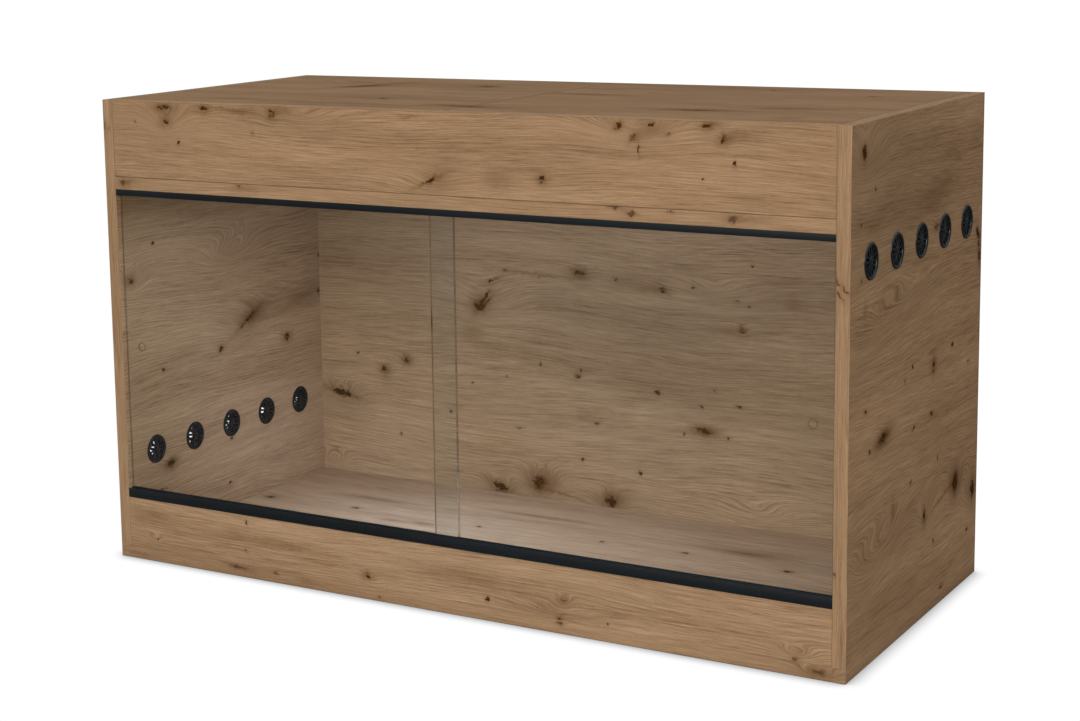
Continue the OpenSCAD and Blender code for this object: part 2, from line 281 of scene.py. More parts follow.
def growth_rings(tree, level, grain, seed):
    """Growth rings: each darkens slowly and ends at a sharp edge, and they show only in places."""
    uneven = patches(tree, grain, 500, 25, seed + 2, 1.0)
    uneven = add(tree, "Math", {0: uneven, 1: 3.0}, operation="MULTIPLY")
    ring = add(tree, "Math", {0: level, 1: 1 / RING_WIDTH, 2: uneven}, operation="MULTIPLY_ADD")
    ring = add(tree, "Math", {0: ring}, operation="FRACT")
    ring = add(tree, "Math", {0: ring, 1: 2.5}, operation="POWER")
    clear = add(tree, "MapRange", {
        "Value": patches(tree, grain, 260, 22, seed + 3), "From Min": 0.42, "From Max": 0.62,
    }, interpolation_type="SMOOTHSTEP")
    return add(tree, "Math", {0: ring, 1: clear}, operation="MULTIPLY")


def oak_print(tree, place, marks, seed, wander):
    """The printed oak: its colour and the relief of its pores. marks are (kind, along, across, length, width,
    turn), in mm and degrees, and wander is how far the grain strays, in mm."""
    crook = add(tree, "TexNoise", {"Vector": place, "Scale": 1 / CROOK_LENGTH, "Detail": 4}, output="Color",
                noise_dimensions="2D")
    crook = add(tree, "VectorMath", {0: crook, 1: (0.5, 0.5, 0.5)}, operation="SUBTRACT")
    crooked = add(tree, "VectorMath", {0: crook, 1: (CROOK, CROOK, 0), 2: place}, operation="MULTIPLY_ADD")
    totals = mark_strengths(tree, place, crooked, marks)
    level, grain = strayed_grain(tree, place, totals["bow"], seed, wander)
    ring = growth_rings(tree, level, grain, seed)

    fibres = patches(tree, grain, 70, 1.4, seed + 4, 3.0)
    hairs = patches(tree, grain, 30, 0.7, seed + 9, 2.0)
    streaks = patches(tree, grain, 320, 7, seed + 5, 3.0)
    broad = patches(tree, place, 500, 60, seed + 6)
    # Oak's pores are a quarter of a millimetre wide, and drawn three times as coarse to show at all
    pores = patches(tree, grain, 8, 0.7, seed + 7, 1.0)
    pores = add(tree, "MapRange", {"Value": pores, "From Min": 0.6, "From Max": 0.72})

    tone = TONE_START
    for pattern, share in ((fibres, FIBRES_SHARE), (hairs, HAIRS_SHARE), (streaks, STREAKS_SHARE),
                           (broad, BROAD_SHARE), (ring, RINGS_SHARE), (pores, PORES_SHARE)):
        tone = add(tree, "Math", {0: pattern, 1: share, 2: tone}, operation="MULTIPLY_ADD")
    # A Mix node's colours are its inputs 6 and 7 and its output 2
    colour = add(tree, "Mix", {0: tone, 6: linear(OAK_DEEP), 7: linear(OAK_LIGHT)}, output=2,
                 data_type="RGBA")
    grey = patches(tree, place, 300, 90, seed + 8)
    grey = add(tree, "Math", {0: grey, 1: GREY_SHARE}, operation="MULTIPLY")
    colour = add(tree, "Mix", {0: grey, 6: colour, 7: linear(OAK_GREY)}, output=2, data_type="RGBA")
    if totals["shade"]:
        painted_brightness = add(tree, "Math", {0: 1.0, 1: totals["shade"]}, operation="SUBTRACT")
        # Painted shade and painted light: the marks darken or lighten the colour, and where they lighten it
        # they also take some colour out
        painted_light_greyness = add(tree, "Math", {0: totals["shade"], 1: PAINTED_LIGHT_GREYING, 2: 1.0}, operation="MULTIPLY_ADD",
                       use_clamp=True)
        colour = add(tree, "HueSaturation", {"Color": colour, "Saturation": painted_light_greyness, "Value": painted_brightness})

    uneven = add(tree, "Math", {0: streaks, 1: 0.5}, operation="ADD")
    stain = add(tree, "Math", {0: totals["stain"], 1: uneven}, operation="MULTIPLY", use_clamp=True)
    colour = add(tree, "Mix", {0: stain, 6: colour, 7: linear(OAK_STAIN)}, output=2, data_type="RGBA")
    # A heart is broken up into ragged pieces
    ragged = patches(tree, crooked, 7, 4, seed + 10, 3.0)
    ragged = add(tree, "Math", {0: ragged, 1: 2.8, 2: -0.45}, operation="MULTIPLY_ADD")
    heart = add(tree, "Math", {0: totals["heart"], 1: ragged}, operation="MULTIPLY")
    heart = add(tree, "MapRange", {"Value": heart, "From Min": 0.42, "From Max": 1.05},
                interpolation_type="SMOOTHSTEP")
    colour = add(tree, "Mix", {0: heart, 6: colour, 7: linear(OAK_HEART)}, output=2, data_type="RGBA")

    relief = add(tree, "Math", {0: fibres, 1: pores}, operation="SUBTRACT")
    return colour, relief


def faces_along(tree, direction):
    """1 on faces that look along a direction or against it, and 0 on the others."""
    facing = add(tree, "VectorMath", {0: add(tree, "TexCoord", output="Normal"), 1: direction},
                 output="Value", operation="DOT_PRODUCT")
    facing = add(tree, "Math", {0: facing}, operation="ABSOLUTE")
    return add(tree, "Math", {0: facing, 1: 0.5}, operation="GREATER_THAN")


def joint_line_and_shade(tree, place, node, along, across, colour, darkness):
    """Darkens the very edge of a board's face, where a thin joint parts it from its neighbours: partly the
    dark line of the decor's cut edge, partly painted shadow in the joint. A darkness of more than 1 widens
    the painted shadow."""
    low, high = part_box(node)
    parts = add(tree, "SeparateXYZ", {0: place}, output="X").node.outputs
    nearest = 1000.0
    for axis, socket in ((along, parts["X"]), (across, parts["Y"])):
        to_low = add(tree, "Math", {0: socket, 1: axis.dot(low) / MM}, operation="SUBTRACT")
        to_high = add(tree, "Math", {0: axis.dot(high) / MM, 1: socket}, operation="SUBTRACT")
        for gap in (to_low, to_high):
            nearest = add(tree, "Math", {0: gap, 1: nearest}, operation="MINIMUM")
    line = add(tree, "MapRange", {"Value": nearest, "From Min": JOINT_FADE[0], "From Max": JOINT_FADE[1],
                                  "To Min": darkness, "To Max": 0})
    return add(tree, "Mix", {0: line, 6: colour, 7: linear(OAK_JOINT_LINE_AND_SHADE)}, output=2, data_type="RGBA")


def melamine_oak(node, along, across, marks, seed, wander, joint):
    """Knotty oak decor printed on melamine-faced chipboard: matt, with fine pressed pores that break up the
    sheen. Cut faces show the core of pressed flakes. joint is how dark the line and painted shadow at the
    joints round the board are."""
    material, tree = new_material("melamine_oak_" + node)
    place = millimetres(tree, along, across)
    colour, relief = oak_print(tree, place, marks, seed, wander)
    if joint:
        # a dark line and painted shadow round the board's edges
        colour = joint_line_and_shade(tree, place, node, along, across, colour, joint)

    # The flakes of the core are 2 to 4 mm wide, pale and dark
    flakes = add(tree, "TexVoronoi", {
        "Vector": add(tree, "TexCoord", output="Object"), "Scale": 1 / (3 * MM),
    }, output="Color")
    flakes = add(tree, "SeparateColor", {0: flakes}, output="Red")
    core = add(tree, "Mix", {0: flakes, 6: linear("#8A6A45"), 7: linear("#C7A67A")}, output=2,
               data_type="RGBA")
    faced = faces_along(tree, along.cross(across))
    colour = add(tree, "Mix", {0: faced, 6: core, 7: colour}, output=2, data_type="RGBA")
    roughness = add(tree, "Math", {0: relief, 1: 0.12, 2: 0.58}, operation="MULTIPLY_ADD")
    finish_material(tree, colour, roughness, relief, 0.04, **{"Specular IOR Level": DECOR_SPECULAR})
    return material


def edging_oak(node, along, across, marks, seed):
    """Oak decor on an edge band of ABS plastic: the same print, straighter and a little paler, with a little
    more sheen."""
    material, tree = new_material("edging_oak_" + node)
    place = millimetres(tree, along, across)
    colour, relief = oak_print(tree, place, marks, seed, BAND_WANDER)
    colour = add(tree, "Mix", {0: BAND_PALENESS, 6: colour, 7: linear(BAND_PALE)}, output=2,
                 data_type="RGBA")
    roughness = add(tree, "Math", {0: relief, 1: 0.1, 2: 0.45}, operation="MULTIPLY_ADD")
    finish_material(tree, colour, roughness, relief, 0.04, **{"Specular IOR Level": BAND_SPECULAR})
    return material


def faced_hardboard(along, across, marks, seed):
    """Thin hardboard with the oak decor on its inner face, and a bare brown pressed face behind."""
    material, tree = new_material("faced_hardboard")
    place = millimetres(tree, along, across)
    colour, relief = oak_print(tree, place, marks, seed, BACK_WANDER)
    behind = add(tree, "VectorMath", {0: add(tree, "TexCoord", output="Normal"), 1: (0, 1, 0)},
                 output="Value", operation="DOT_PRODUCT")
    behind = add(tree, "Math", {0: behind, 1: -0.5}, operation="GREATER_THAN")
    pulp = patches(tree, place, 1.5, 1.5, seed, 4.0)
    cloud = patches(tree, place, 60, 60, seed + 1)
    brown = add(tree, "Mix", {0: pulp, 6: linear("#73543A"), 7: linear("#A07B56")}, output=2,
                data_type="RGBA")
    cloud = add(tree, "Math", {0: cloud, 1: 0.4}, operation="MULTIPLY")
    brown = add(tree, "Mix", {0: cloud, 6: brown, 7: linear("#86664A")}, output=2, data_type="RGBA")
    colour = add(tree, "Mix", {0: behind, 6: colour, 7: brown}, output=2, data_type="RGBA")
    roughness = add(tree, "Math", {0: relief, 1: 0.12, 2: 0.52}, operation="MULTIPLY_ADD")
    height = add(tree, "Math", {0: pulp, 1: behind, 2: relief}, operation="MULTIPLY_ADD")
    finish_material(tree, colour, roughness, height, 0.03, **{"Specular IOR Level": DECOR_SPECULAR})
    return material


def black_extrusion():
    """Rigid PVC drawn through a die, black: satin, with faint lines along its length."""
    material, tree = new_material("black_extruded_pvc")
    place = millimetres(tree, X, Y)
    lines = patches(tree, place, 400, 0.5, 3)
    colour = add(tree, "Mix", {0: lines, 6: linear("#0A0E11"), 7: linear("#191F23")}, output=2,
                 data_type="RGBA")
    roughness = add(tree, "Math", {0: lines, 1: 0.15, 2: 0.3}, operation="MULTIPLY_ADD")
    finish_material(tree, colour, roughness, lines, 0.02)
    return material


def black_moulding():
    """Black moulded ABS of the vents: a fine spark grain that scatters the light."""
    material, tree = new_material("black_moulded_abs")
    grain = add(tree, "TexNoise", {"Vector": add(tree, "TexCoord", output="Object"), "Scale": 1 / (0.8 * MM),
                                   "Detail": 2})
    colour = add(tree, "Mix", {0: grain, 6: linear("#0C0F11"), 7: linear("#1E2327")}, output=2,
                 data_type="RGBA")
    roughness = add(tree, "Math", {0: grain, 1: 0.15, 2: 0.2}, operation="MULTIPLY_ADD")
    finish_material(tree, colour, roughness, grain, 0.02)
    return material


def float_glass():
    """Clear float glass, a trace cool. Light from the lamps goes straight through it. Its IOR is under the
    usual 1.52, because the photograph's panes mirror almost nothing, and hardly show where they overlap."""
    material, tree = new_material("clear_float_glass")
    tint = patches(tree, millimetres(tree, X, Z), 200, 200, 5)
    colour = add(tree, "Mix", {0: tint, 6: linear("#FBFEFF"), 7: linear("#F5FAFC")}, output=2,
                 data_type="RGBA")
    glass = add(tree, "BsdfPrincipled", {
        "Base Color": colour, "Roughness": 0, "IOR": 1.3, "Transmission Weight": 1,
    })
    path = add(tree, "LightPath").node.outputs
    straight = add(tree, "Math", {0: path["Is Shadow Ray"], 1: path["Is Diffuse Ray"]}, operation="MAXIMUM")
    clear = add(tree, "BsdfTransparent", {"Color": linear("#F5F9F7")})
    add(tree, "OutputMaterial", {"Surface": add(tree, "MixShader", {0: straight, 1: glass, 2: clear})})
    return material


def ground_edge():
    """The ground edges of the glass: matt and dark, but the boards behind still show through them."""
    material, tree = new_material("ground_glass_edge")
    grit = add(tree, "TexNoise", {"Vector": add(tree, "TexCoord", output="Object"), "Scale": 1 / (1 * MM),
                                  "Detail": 2})
    colour = add(tree, "Mix", {0: grit, 6: linear("#2A241D"), 7: linear("#3A332A")}, output=2,
                 data_type="RGBA")
    roughness = add(tree, "Math", {0: grit, 1: 0.2, 2: 0.45}, operation="MULTIPLY_ADD")
    finish_material(tree, colour, roughness, grit, 0.01, **{"Specular IOR Level": 0.2, "Alpha": 0.36})
    return material


def zinc_plate():
    """Bright zinc on steel screws and fittings: a cool grey metal, a little cloudy."""
    material, tree = new_material("zinc_plated_steel")
    cloud = add(tree, "TexNoise", {"Vector": add(tree, "TexCoord", output="Object"), "Scale": 1 / (4 * MM),
                                   "Detail": 4})
    colour = add(tree, "Mix", {0: cloud, 6: linear("#AEB1B5"), 7: linear("#D5D7DA")}, output=2,
                 data_type="RGBA")
    roughness = add(tree, "Math", {0: cloud, 1: 0.25, 2: 0.2}, operation="MULTIPLY_ADD")
    finish_material(tree, colour, roughness, cloud, 0.01, Metallic=1)
    return material


def raw_beech():
    """Raw beech dowels: pale pinkish wood with short dark flecks along each dowel."""
    material, tree = new_material("raw_beech")
    flecks = patches(tree, millimetres(tree, X, Z), 3, 0.6, 2, 3.0)
    colour = add(tree, "Mix", {0: flecks, 6: linear("#C49A6C"), 7: linear("#E3C79E")}, output=2,
                 data_type="RGBA")
    finish_material(tree, colour, 0.6, flecks, 0.05)
    return material


# Each mark's kind, its place along and across the board's grain, its length and width, and its turn. Places
# are in mm in the part's own coordinates, and turns in degrees.
UPPER_FASCIA_MARKS = [
    ("ring", -397, 585, 54, 40, 0), ("knot", -401, 593, 24, 8, 0), ("eye", -399, 575, 22, 16, 20),
    ("knot", -338, 593, 15, 10, 0), ("streak", -303, 593, 56, 5, -6), ("stain", -274, 592, 40, 14, 0),
    ("knot", -235, 590, 13, 13, 0), ("stain", -216, 595, 36, 18, 0), ("swell", -190, 586, 90, 26, 0),
    ("dot", -264, 565, 5, 4, 0), ("dot", -379, 550, 4, 6, 0), ("dot", -447, 573, 4, 4, 0),
    ("stain", 1, 523, 56, 34, 15), ("crack", -15, 517, 32, 3, 24), ("crack", -8, 521, 9, 2, 60),
    ("swell", -5, 516, 90, 24, 5), ("streak", -40, 592, 30, 3, 8), ("stain", 81, 525, 44, 24, 0),
    ("dot", 136, 527, 8, 11, 0), ("stain", 136, 528, 24, 16, 0), ("swell", 250, 600, 120, 58, 0),
    ("knot", 232, 591, 12, 7, 30), ("ring", 250, 595, 16, 14, 0), ("eye", 272, 593, 26, 18, 0),
    ("knot", 250, 579, 8, 5, 40), ("stain", 258, 580, 30, 12, 10), ("dot", 292, 584, 9, 5, 20),
    ("knot", 337, 594, 12, 8, 0), ("stain", 345, 597, 26, 10, 0), ("knot", 358, 580, 11, 9, 30),
    ("stain", 374, 585, 48, 14, 12), ("dot", 370, 555, 3, 8, 0), ("dot", 332, 536, 4, 4, 0),
    ("crack", 257, 565, 2, 11, 0),
]
RAIL_BAND_MARKS = [
    ("knot", -470, 495, 14, 10, 0), ("stain", -458, 497, 40, 9, 0), ("dot", -288, 501, 13, 5, 0),
    ("streak", -280, 496, 50, 8, 0), ("dot", 226, 502, 18, 5, 0), ("dot", 248, 495, 11, 7, 20),
    ("stain", 240, 497, 40, 8, -12), ("dot", 295, 499, 10, 5, 0), ("knot", 368, 495, 14, 8, 0),
    ("stain", 385, 497, 56, 9, 0),
]
TOP_MARKS = [
    ("streak", -30, -148, 70, 20, 0), ("crack", -3, -158, 56, 12, 8), ("streak", 37, -168, 80, 12, 3),
    ("crack", -297, 78, 82, 14, 65), ("streak", -290, 70, 90, 30, 40), ("streak", -120, 60, 90, 16, 4),
    ("crack", 274, -116, 46, 12, 8), ("streak", 275, -114, 110, 22, 4), ("crack", 350, -72, 60, 6, 4),
    ("streak", 380, -60, 90, 14, 0), ("stain", 407, -169, 36, 26, 0), ("streak", -132, 116, 44, 30, 0),
    ("dot", -132, 116, 22, 14, 0), ("dot", -160, -91, 16, 13, 0), ("streak", 58, 44, 90, 22, 0),
    ("streak", -350, -150, 70, 12, 3), ("dot", 400, 120, 24, 7, 0), ("swell", 120, 60, 300, 60, 0),
    # the dim mark at the end of this line is painted shade over the whole top
    ("swell", -300, 120, 260, 50, 0), ("dot", 250, 170, 14, 8, 0), ("dim", 0, 0, 2000, 1000, 0),
]
LOWER_FASCIA_MARKS = [
    ("dot", -294, 71, 4, 6, 0), ("dot", -296, 35, 4, 5, 0), ("dot", -446, 35, 3, 3, 0),
    ("dot", -438, 30, 3, 3, 0), ("ring", -442, 32, 20, 10, 0), ("stain", -446, 61, 70, 20, -4),
    ("knot", -112, 29, 13, 8, -10), ("stain", 30, 50, 160, 16, -3), ("dot", 57, 26, 5, 8, 0),
    ("eye", 158, 40, 20, 11, 10), ("knot", 153, 17, 8, 6, 0), ("swell", 150, 24, 130, 22, 0),
    ("stain", 137, 24, 120, 20, 0), ("dot", 215, 20, 4, 4, 0), ("dot", 443, 19, 8, 5, 0),
    ("ring", 444, 26, 44, 16, 0), ("streak", 247, 79, 20, 2, 0), ("stain", -250, 50, 180, 12, 0),
    # painted light over the whole lower fascia
    ("light", 0, 50, 1800, 300, 0),
]
BOTTOM_BAND_MARKS = [
    ("streak", -470, 6, 60, 5, -3), ("knot", -311, 12, 26, 6, -6), ("stain", -300, 11, 60, 10, 0),
    ("dot", -250, 12, 9, 5, 0), ("stain", -205, 9, 36, 9, 0), ("dot", -95, 5, 8, 4, 0),
    ("knot", 153, 13, 9, 6, 0), ("ring", 467, 8, 44, 14, 0), ("knot", 469, 8, 16, 7, 0),
    ("stain", 466, 8, 40, 12, 0),
]
BOTTOM_MARKS = [
    ("dot", 56, 75, 10, 7, 0), ("dot", 171, 80, 12, 8, 0), ("dot", -122, 60, 9, 7, 0),
    ("knot", 316, 68, 14, 9, 0), ("streak", 233, 113, 80, 12, 0), ("stain", 260, 116, 90, 34, 0),
    ("knot", -459, 51, 15, 13, 0), ("dot", -320, 60, 14, 9, 0), ("streak", -241, 32, 40, 10, 0),
    ("streak", -195, 37, 44, 12, 0), ("streak", -330, 110, 120, 16, 0), ("streak", -60, 140, 180, 14, 0),
    # painted light over the cabin's bottom board, strongest towards the left
    ("pale", 0, 0, 1400, 600, 0), ("pale", -250, 60, 500, 300, 0), ("light", -320, 80, 400, 300, 0),
]
BACK_MARKS = [
    ("knot", -212, 281, 20, 13, -20), ("crack", -203, 294, 36, 5, 52), ("crack", -199, 288, 24, 3, 45),
    ("crack", -191, 320, 22, 3, 20), ("stain", -206, 288, 44, 30, 30), ("swell", -205, 297, 110, 52, 0),
    ("dot", -169, 336, 5, 4, 0), ("dot", -116, 329, 5, 3, 0), ("knot", -53, 340, 17, 11, -10),
    ("stain", -50, 339, 44, 20, 0), ("streak", -120, 334, 120, 6, -2), ("dot", 3, 335, 6, 5, 0),
    ("stain", 12, 332, 38, 16, 0), ("stain", -223, 243, 38, 20, 0), ("dot", -114, 208, 4, 7, 0),
    ("dot", -168, 185, 4, 4, 0), ("dot", -224, 170, 4, 4, 0), ("knot", -56, 196, 10, 8, 20),
    ("dot", -51, 205, 4, 5, 0), ("streak", -117, 238, 34, 3, -3), ("knot", 73, 326, 18, 9, -10),
    ("stain", 48, 327, 44, 18, 0), ("dot", 117, 332, 6, 5, 0), ("swell", 150, 330, 120, 36, 0),
    ("dot", 201, 368, 5, 5, 0), ("dot", 179, 319, 7, 4, 0), ("dot", 197, 313, 6, 5, 0),
    ("knot", 187, 281, 9, 10, 0), ("stain", 174, 280, 70, 10, 0), ("stain", 258, 320, 26, 20, 0),
    ("dot", 65, 186, 7, 8, 30), ("dot", 149, 196, 6, 5, 0), ("dot", 129, 172, 5, 4, 0),
    ("dot", 183, 178, 9, 5, 0), ("dot", -27, 132, 8, 5, 0), ("dot", -149, 114, 11, 3, 0),
    ("dot", -50, 79, 6, 6, 0), ("dot", 38, 71, 7, 6, 0), ("eye", -181, 22, 46, 30, 0),
    ("crack", -183, 27, 24, 6, -20), ("knot", -119, 38, 26, 26, 10), ("ring", -112, 36, 44, 40, 0),
    ("stain", -105, 40, 56, 34, 0), ("streak", -70, 24, 60, 4, -10), ("eye", -8, 25, 34, 28, 0),
    ("dot", -6, 24, 12, 14, 20), ("stain", 2, 31, 54, 26, 0), ("knot", 133, 140, 26, 11, -5),
    ("stain", 136, 139, 56, 16, 0),
    ("dot", 168, 133, 6, 5, 0), ("dot", 104, 133, 4, 3, 0), ("swell", 215, 36, 110, 34, 0),
    ("eye", -448, 134, 62, 30, -12), ("crack", -444, 133, 40, 4, -10), ("dot", -420, 196, 6, 6, 0),
    ("knot", -373, 177, 14, 7, 0), ("stain", -372, 168, 24, 30, 0), ("knot", -335, 193, 11, 10, 0),
    ("stain", -335, 193, 28, 22, 0), ("dot", -347, 83, 6, 6, 0), ("ring", -465, 32, 44, 24, 0),
    # the dark and dim marks at the end of this line and all marks on the next two are painted shade and
    # painted light: the middle and upper left of the back darkened, the lower left and the top lightened
    ("dot", -260, 125, 6, 4, 0), ("dark", -20, 280, 560, 230, 0), ("dim", 60, 200, 1100, 260, 0),
    ("pale", -390, 80, 300, 240, 0), ("light", 60, 430, 900, 160, 0),
    ("dim", 90, 230, 420, 220, 0), ("dim", -380, 360, 240, 220, 0),
]
LEFT_SIDE_MARKS = [
    ("knot", -203, 363, 15, 11, 0), ("ring", -201, 367, 44, 30, 0), ("dot", -155, 407, 6, 5, 0),
    ("swell", 20, 376, 130, 44, 8), ("ring", 10, 377, 70, 24, 8), ("crack", 45, 271, 42, 5, 26),
    ("stain", 62, 277, 90, 36, 14), ("stain", 56, 276, 56, 26, 20), ("swell", 60, 276, 150, 40, 8),
    ("knot", 137, 230, 19, 13, 0),
    ("dot", -18, 241, 16, 11, 0), ("dot", -143, 235, 8, 5, 0), ("stain", 175, 281, 100, 26, 5),
    ("knot", -136, 106, 17, 10, 10), ("stain", -134, 105, 44, 24, 0), ("dot", -1, 111, 9, 5, 0),
    ("ring", 37, 400, 22, 14, 0), ("dot", 218, 284, 6, 10, 0), ("dot", 221, 338, 5, 5, 0),
    ("dot", -155, 74, 19, 5, 0), ("dot", -7, 48, 8, 4, 0), ("swell", -100, 470, 200, 44, 0),
    # painted shade high up and painted light low down on the side's inner face
    ("dim", -80, 430, 300, 160, 0), ("pale", 60, 100, 400, 280, 0), ("light", 150, 60, 320, 200, 0),
]
RIGHT_SIDE_MARKS = [
    ("knot", -188, 568, 15, 13, 0), ("crack", -186, 570, 6, 16, 0), ("swell", -180, 566, 90, 60, 0),
    ("dot", -152, 526, 5, 6, 0), ("dot", -194, 492, 6, 4, 0), ("dot", -192, 434, 6, 4, 0),
    ("stain", -179, 400, 12, 16, 0), ("knot", 52, 459, 16, 9, 0), ("crack", 208, 432, 24, 9, -40),
    ("crack", 216, 404, 10, 36, 10), ("stain", 60, 500, 150, 40, 10), ("crack", 51, 296, 8, 16, 0),
    ("stain", 51, 296, 26, 20, 0), ("dot", 119, 308, 8, 7, 0), ("dot", -49, 296, 7, 6, 0),
    ("dot", 182, 277, 8, 4, 0), ("swell", -60, 390, 260, 44, 6), ("knot", -119, 247, 36, 13, 10),
    ("stain", -119, 247, 60, 22, 10), ("crack", 140, 136, 12, 22, 0), ("eye", 138, 136, 44, 34, 0),
    ("stain", 140, 136, 40, 32, 0), ("eye", 208, 113, 44, 44, 0), ("crack", 208, 110, 8, 18, 0),
    ("knot", 26, 122, 12, 19, 0), ("swell", 26, 126, 90, 40, 0), ("streak", 85, 128, 90, 6, 12),
    ("dot", -161, 240, 7, 5, 0), ("dot", -174, 288, 12, 7, 0), ("dot", 46, 240, 10, 6, 0),
    ("dot", -16, 236, 16, 4, 10), ("dot", 71, 182, 6, 7, 0), ("dot", -23, 174, 7, 6, 0),
    ("dot", 189, 64, 7, 7, 0), ("dot", 60, 84, 6, 6, 0), ("knot", 93, 17, 14, 6, 0),
    # the dark mark at the end of this line is painted shade on the upper part of the side
    ("swell", -126, 125, 200, 56, 12), ("dot", -23, 309, 6, 5, 0), ("dark", -70, 500, 420, 200, 0),
]
LEFT_BAND_MARKS = [("crack", 566, -498, 14, 4, 0), ("dot", 563, -491, 6, 4, 0)]
RIGHT_BAND_MARKS = [
    ("crack", 430, 492, 28, 4, -42), ("crack", 422, 488, 16, 4, -42), ("dot", 120, 486, 7, 4, 0),
]

# Each board's node, its grain, its marks, its seed, how far the grain strays and how dark the line and
# painted shadow at its joints are
BOARDS = [
    ("upper_fascia", X, Z, UPPER_FASCIA_MARKS, 11, 30, 0.4),
    ("lower_fascia", X, Z, LOWER_FASCIA_MARKS, 23, 25, 0.35),
    ("upper_rail", X, Y, [], 31, 30, 0.0),
    ("left_top_panel", X, Y, TOP_MARKS, 41, 40, 1.5),
    ("right_top_panel", X, Y, TOP_MARKS, 47, 40, 1.5),
    ("bottom_panel", X, Y, BOTTOM_MARKS, 53, 40, 0.0),
    ("left_side_panel", Y, Z, LEFT_SIDE_MARKS, 61, 40, 0.0),
    ("right_side_panel", Y, Z, RIGHT_SIDE_MARKS, 71, 35, 0.0),
]
for row in BOARDS:
    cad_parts[row[0]].data.materials[0] = melamine_oak(*row)
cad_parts["back_panel"].data.materials[0] = faced_hardboard(X, Z, BACK_MARKS, 83)

zinc = zinc_plate()
for node in ("confirmat_screws", "cam_housings", "cam_bolts", "back_screws"):
    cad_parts[node].data.materials[0] = zinc
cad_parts["dowels"].data.materials[0] = raw_beech()


# ---------- edge bands ----------

BAND_ROUND = 0.5 * MM

# Each band's node, the way its visible face looks, its grain and the marks in it
BANDS = [
    ("bottom_front_band", -Y, X, Z, BOTTOM_BAND_MARKS, 23),
    ("bottom_left_band", -X, Y, Z, [], 101),
    ("bottom_right_band", X, Y, Z, [], 103),
    ("left_front_band", -Y, Z, X, LEFT_BAND_MARKS, 107),
    ("right_front_band", -Y, Z, X, RIGHT_BAND_MARKS, 109),
    ("left_top_band", Z, Y, X, [], 113),
    ("right_top_band", Z, Y, X, [], 127),
    ("upper_fascia_top_band", Z, X, Y, [], 131),
    ("upper_rail_front_band", -Y, X, Z, RAIL_BAND_MARKS, 137),
    ("lower_fascia_top_band", Z, X, Y, [], 139),
]


def edge_band(node, outward, along, across, marks, seed):
    """A thin band with its two long outer edges rounded by the scraper that trims it."""
    low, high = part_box(node)
    band = block(node + "_trimmed", low, high)
    face = max(outward.dot(low), outward.dot(high))
    start_edit(band, "EDGE", lambda centre, way: abs(outward.dot(centre) - face) < 0.01 * MM
               and abs(way.dot(along)) > 0.9)
    bpy.ops.mesh.bevel(offset=BAND_ROUND, segments=3, profile=0.5)
    end_edit()
    smooth(band)
    stands_for(band, node, "cabinet", [edging_oak(node, along, across, marks, seed)])


for row in BANDS:
    edge_band(*row)


# ---------- tracks ----------

TRACK_WALL = 1.2 * MM
TRACK_ROUND = 0.35 * MM
LOWER_GROOVE = 4 * MM
OVERSHOOT = 1 * MM
extrusion = black_extrusion()


def track(node, open_to):
    """A track with two grooves between three lips, with the lips' edges rounded; open_to is +1 for up."""
    low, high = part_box(node)
    piece = block(node + "_extrusion", low, high)
    groove_w = (high.y - low.y - 3 * TRACK_WALL) / 2
    depth = LOWER_GROOVE if open_to > 0 else high.z - low.z - TRACK_WALL
    for start in (low.y + TRACK_WALL, low.y + 2 * TRACK_WALL + groove_w):
        bottom, top = low.z - OVERSHOOT, low.z + depth
        if open_to > 0:
            bottom, top = high.z - depth, high.z + OVERSHOOT
        groove = block("groove", Vector((low.x - OVERSHOOT, start, bottom)),
                       Vector((high.x + OVERSHOOT, start + groove_w, top)))
        cut(piece, groove)
    start_edit(piece, "EDGE", lambda centre, way: abs(way.x) > 0.9)
    bpy.ops.mesh.bevel(offset=TRACK_ROUND, segments=2, profile=0.5)
    end_edit()
    smooth(piece)
    stands_for(piece, node, "cabinet", [extrusion])


track("lower_track", 1)
track("upper_track", -1)


# ---------- panes ----------

# The finger hole's radius and its distances from the pane's outer and lower edge, and the ground arris
HOLE_R = 5 * MM
HOLE_IN = 24 * MM
HOLE_UP = 192 * MM
ARRIS = 0.5 * MM
glass_face = float_glass()
glass_edge = ground_edge()


def pane(node, side, body):
    """A pane of 4 mm glass with a drilled finger hole, and the sharp edges ground off as narrow arrises."""
    low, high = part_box(node)
    piece = block(node + "_glass", low, high)
    outer_x = high.x if side > 0 else low.x
    bpy.ops.object.select_all(action="DESELECT")
    bpy.ops.mesh.primitive_cylinder_add(
        vertices=64, radius=HOLE_R, depth=4 * (high.y - low.y), rotation=(math.pi / 2, 0, 0),
        location=(outer_x - side * HOLE_IN, (low.y + high.y) / 2, low.z + HOLE_UP))
    cut(piece, bpy.context.object)
    finish_with(piece, "BEVEL", width=ARRIS, segments=1, limit_method="ANGLE",
                angle_limit=math.radians(50))
    stands_for(piece, node, body, [glass_face, glass_edge])
    for face in piece.data.polygons:
        face.material_index = 0 if abs(face.normal.y) > 0.99 else 1


pane("left_pane", -1, "left_slider")
pane("right_pane", 1, "right_slider")


# ---------- vents ----------

VENTS = 5
TURNS = 64
SLOTS = 12

# A vent's measures in mm: its grille stands out of the board's face by GRILLE_UP and is GRILLE_T thick, and
# its hub stands out of that. Ribs of equal width part the slots, which narrow towards the hub.
GRILLE_UP, GRILLE_T = 0.3, 1.2
HUB_R, HUB_UP = 4.6, 0.8
RIB_W = 2.9
SLOT_IN_R, SLOT_IN_W = 5.2, 0.9
SLOT_CUT = 4
BARREL_L, BARREL_WALL = 13, 1.4
DISH = 0.3
GRILLE_ROUND = 0.25
moulding = black_moulding()


